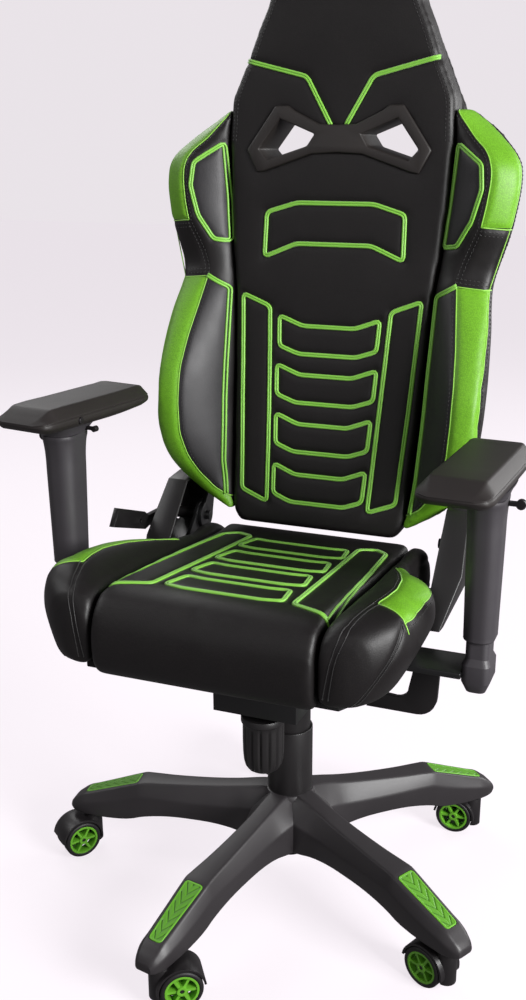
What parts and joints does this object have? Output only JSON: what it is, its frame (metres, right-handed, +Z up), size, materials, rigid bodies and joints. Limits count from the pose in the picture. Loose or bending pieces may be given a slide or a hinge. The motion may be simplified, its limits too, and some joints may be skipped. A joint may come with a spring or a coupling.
{
  "type": "gaming chair",
  "caption": "High-backed gaming chair with bucket wings, green-piped panels, tilting seat, reclining back, adjustable armrests and a caster base.",
  "frame": {"origin": "on the floor under the gas lift axis", "axes": "+Z up, the sitter faces -Y, +X is the sitter's left"},
  "size_m": [0.6849, 0.6507, 1.282],
  "materials": {
    "base_nylon": "moulded glass-filled nylon, satin",
    "green_plastic": "moulded, satin",
    "caster_plastic": "moulded",
    "caster_tyre": "smooth",
    "black_steel": "powder coated",
    "rod_chrome": "polished",
    "bare_steel": "zinc plated",
    "grey_plastic": "fine spark texture",
    "lever_plastic": "satin",
    "pad_rubber": "soft polyurethane, satin",
    "board_wood": "raw plywood",
    "black_leatherette": "fine grain, satin",
    "wing_leatherette": "fine grain with green panels"
  },
  "bodies": {
    "base": {"star_base": "base_nylon", "base_pads": "green_plastic", "gas_cylinder": "black_steel", "cover_lower": "grey_plastic"},
    "caster_1": {"caster_fork_1": "caster_plastic"},
    "caster_wheels_1": {"caster_tyres_1": "caster_tyre", "caster_hubs_1": "green_plastic"},
    "caster_2": {"caster_fork_2": "caster_plastic"},
    "caster_wheels_2": {"caster_tyres_2": "caster_tyre", "caster_hubs_2": "green_plastic"},
    "caster_3": {"caster_fork_3": "caster_plastic"},
    "caster_wheels_3": {"caster_tyres_3": "caster_tyre", "caster_hubs_3": "green_plastic"},
    "caster_4": {"caster_fork_4": "caster_plastic"},
    "caster_wheels_4": {"caster_tyres_4": "caster_tyre", "caster_hubs_4": "green_plastic"},
    "caster_5": {"caster_fork_5": "caster_plastic"},
    "caster_wheels_5": {"caster_tyres_5": "caster_tyre", "caster_hubs_5": "green_plastic"},
    "column": {"piston_rod": "rod_chrome"},
    "mechanism": {"tilt_housing": "black_steel", "tilt_pin": "bare_steel", "tension_spring": "bare_steel", "cover_upper": "grey_plastic"},
    "knob": {"tension_knob": "grey_plastic"},
    "tilt_lever": {"tilt_lever": "lever_plastic"},
    "lift_lever": {"lift_lever": "lever_plastic"},
    "seat": {"seat_plate": "black_steel", "seat_board": "board_wood", "seat_frame": "black_steel", "seat_cushion": "black_leatherette", "seat_bolster_left": "wing_leatherette", "seat_bolster_right": "wing_leatherette", "seat_bolts": "bare_steel", "arm_brackets": "black_steel", "arm_posts": "grey_plastic", "recliner_brackets": "black_steel", "recliner_cover_left": "grey_plastic", "recliner_cover_right": "grey_plastic"},
    "recline_lever": {"recline_lever": "lever_plastic"},
    "backrest": {"back_frame": "black_steel", "rear_shell": "black_leatherette", "back_cushion": "black_leatherette", "back_wing_left": "wing_leatherette", "back_wing_right": "wing_leatherette", "headrest": "black_leatherette", "belt_bezel": "grey_plastic"},
    "sleeve_left": {"arm_sleeve_left": "grey_plastic"},
    "height_lever_left": {"height_lever_left": "lever_plastic"},
    "carrier_left": {"pad_carrier_left": "grey_plastic"},
    "swivel_lever_left": {"swivel_lever_left": "lever_plastic"},
    "pad_left": {"arm_pad_left": "pad_rubber"},
    "slide_button_left": {"slide_button_left": "lever_plastic"},
    "sleeve_right": {"arm_sleeve_right": "grey_plastic"},
    "height_lever_right": {"height_lever_right": "lever_plastic"},
    "carrier_right": {"pad_carrier_right": "grey_plastic"},
    "swivel_lever_right": {"swivel_lever_right": "lever_plastic"},
    "pad_right": {"arm_pad_right": "pad_rubber"},
    "slide_button_right": {"slide_button_right": "lever_plastic"}
  },
  "joints": [
    {"name": "caster_swivel_1", "type": "hinge", "parent": "base", "child": "caster_1", "pos_m": [0.27262, -0.15174, 0.07], "axis": [0, 0, 1], "continuous": true},
    {"name": "caster_roll_1", "type": "hinge", "parent": "caster_1", "child": "caster_wheels_1", "pos_m": [0.24887, -0.14116, 0.028], "axis": [-0.4067, -0.9135, 0], "continuous": true},
    {"name": "caster_swivel_2", "type": "hinge", "parent": "base", "child": "caster_2", "pos_m": [0.22855, 0.21238, 0.07], "axis": [0, 0, 1], "continuous": true},
    {"name": "caster_roll_2", "type": "hinge", "parent": "caster_2", "child": "caster_wheels_2", "pos_m": [0.20255, 0.21238, 0.028], "axis": [0, -1, 0], "continuous": true},
    {"name": "caster_swivel_3", "type": "hinge", "parent": "base", "child": "caster_3", "pos_m": [-0.13136, 0.283, 0.07], "axis": [0, 0, 1], "continuous": true},
    {"name": "caster_roll_3", "type": "hinge", "parent": "caster_3", "child": "caster_wheels_3", "pos_m": [-0.14026, 0.25857, 0.028], "axis": [0.9397, -0.342, 0], "continuous": true},
    {"name": "caster_swivel_4", "type": "hinge", "parent": "base", "child": "caster_4", "pos_m": [-0.30974, -0.03748, 0.07], "axis": [0, 0, 1], "continuous": true},
    {"name": "caster_roll_4", "type": "hinge", "parent": "caster_4", "child": "caster_wheels_4", "pos_m": [-0.32502, -0.05852, 0.028], "axis": [0.809, -0.5878, 0], "continuous": true},
    {"name": "caster_swivel_5", "type": "hinge", "parent": "base", "child": "caster_5", "pos_m": [-0.06007, -0.30616, 0.07], "axis": [0, 0, 1], "continuous": true},
    {"name": "caster_roll_5", "type": "hinge", "parent": "caster_5", "child": "caster_wheels_5", "pos_m": [-0.03903, -0.29088, 0.028], "axis": [-0.5878, 0.809, 0], "continuous": true},
    {"name": "gas_lift", "type": "slide", "parent": "base", "child": "column", "axis": [0, 0, 1], "range_m": [-0.06, 0.02]},
    {"name": "seat_swivel", "type": "hinge", "parent": "column", "child": "mechanism", "pos_m": [0, 0, 0.33], "axis": [0, 0, 1], "continuous": true},
    {"name": "tension_turn", "type": "hinge", "parent": "mechanism", "child": "knob", "pos_m": [0, -0.102, 0.28], "axis": [0, 0, 1], "range_deg": [-1080, 1080]},
    {"name": "tilt_lever_lift", "type": "hinge", "parent": "mechanism", "child": "tilt_lever", "pos_m": [0.066, -0.05, 0.343], "axis": [0, -1, 0], "range_deg": [0, 6]},
    {"name": "lift_lever_lift", "type": "hinge", "parent": "mechanism", "child": "lift_lever", "pos_m": [-0.066, -0.05, 0.343], "axis": [0, 1, 0], "range_deg": [0, 6], "stiffness_Nm_per_rad": 2, "springref_deg": -6.88},
    {"name": "seat_tilt", "type": "hinge", "parent": "mechanism", "child": "seat", "pos_m": [0, -0.06, 0.385], "axis": [-1, 0, 0], "range_deg": [0, 12], "stiffness_Nm_per_rad": 270, "springref_deg": -14.32},
    {"name": "recline", "type": "hinge", "parent": "seat", "child": "backrest", "pos_m": [0, 0.122, 0.506], "axis": [-1, 0, 0], "range_deg": [-4, 55]},
    {"name": "recline_lever_pull", "type": "hinge", "parent": "seat", "child": "recline_lever", "pos_m": [-0.24, 0.122, 0.506], "axis": [-1, 0, 0], "range_deg": [0, 25], "stiffness_Nm_per_rad": 1.5, "springref_deg": -28.65},
    {"name": "arm_height_left", "type": "slide", "parent": "seat", "child": "sleeve_left", "axis": [0, 0, 1], "range_m": [-0.044, 0.036]},
    {"name": "height_lever_press_left", "type": "hinge", "parent": "sleeve_left", "child": "height_lever_left", "pos_m": [-0.3, -0.0915, 0.6665], "axis": [0, 1, 0], "range_deg": [0, 8], "stiffness_Nm_per_rad": 0.6, "springref_deg": -11.46},
    {"name": "pad_swivel_left", "type": "hinge", "parent": "sleeve_left", "child": "carrier_left", "pos_m": [-0.282, -0.1, 0.654], "axis": [0, 0, 1], "range_deg": [-6, 24]},
    {"name": "swivel_lever_press_left", "type": "hinge", "parent": "carrier_left", "child": "swivel_lever_left", "pos_m": [-0.26133, -0.08454, 0.681], "axis": [-0.1564, -0.9877, 0], "range_deg": [0, 6], "stiffness_Nm_per_rad": 0.5, "springref_deg": -11.46},
    {"name": "pad_slide_left", "type": "slide", "parent": "carrier_left", "child": "pad_left", "axis": [0.1564, 0.9877, 0], "range_m": [-0.058, 0]},
    {"name": "button_press_left", "type": "slide", "parent": "pad_left", "child": "slide_button_left", "axis": [-0.9877, 0.1564, 0], "range_m": [0, 0.0025], "stiffness_N_per_m": 600, "springref_m": -0.003},
    {"name": "arm_height_right", "type": "slide", "parent": "seat", "child": "sleeve_right", "axis": [0, 0, 1], "range_m": [-0.02, 0.06]},
    {"name": "height_lever_press_right", "type": "hinge", "parent": "sleeve_right", "child": "height_lever_right", "pos_m": [0.3, -0.0915, 0.6425], "axis": [0, -1, 0], "range_deg": [0, 8], "stiffness_Nm_per_rad": 0.6, "springref_deg": -11.46},
    {"name": "pad_swivel_right", "type": "hinge", "parent": "sleeve_right", "child": "carrier_right", "pos_m": [0.282, -0.1, 0.63], "axis": [0, 0, 1], "range_deg": [-12, 18]},
    {"name": "swivel_lever_press_right", "type": "hinge", "parent": "carrier_right", "child": "swivel_lever_right", "pos_m": [0.26499, -0.08058, 0.657], "axis": [0.0523, 0.9986, 0], "range_deg": [0, 6], "stiffness_Nm_per_rad": 0.5, "springref_deg": -11.46},
    {"name": "pad_slide_right", "type": "slide", "parent": "carrier_right", "child": "pad_right", "axis": [0.0523, 0.9986, 0], "range_m": [-0.02, 0.038]},
    {"name": "button_press_right", "type": "slide", "parent": "pad_right", "child": "slide_button_right", "axis": [0.9986, -0.0523, 0], "range_m": [0, 0.0025], "stiffness_N_per_m": 600, "springref_m": -0.003}
  ]
}
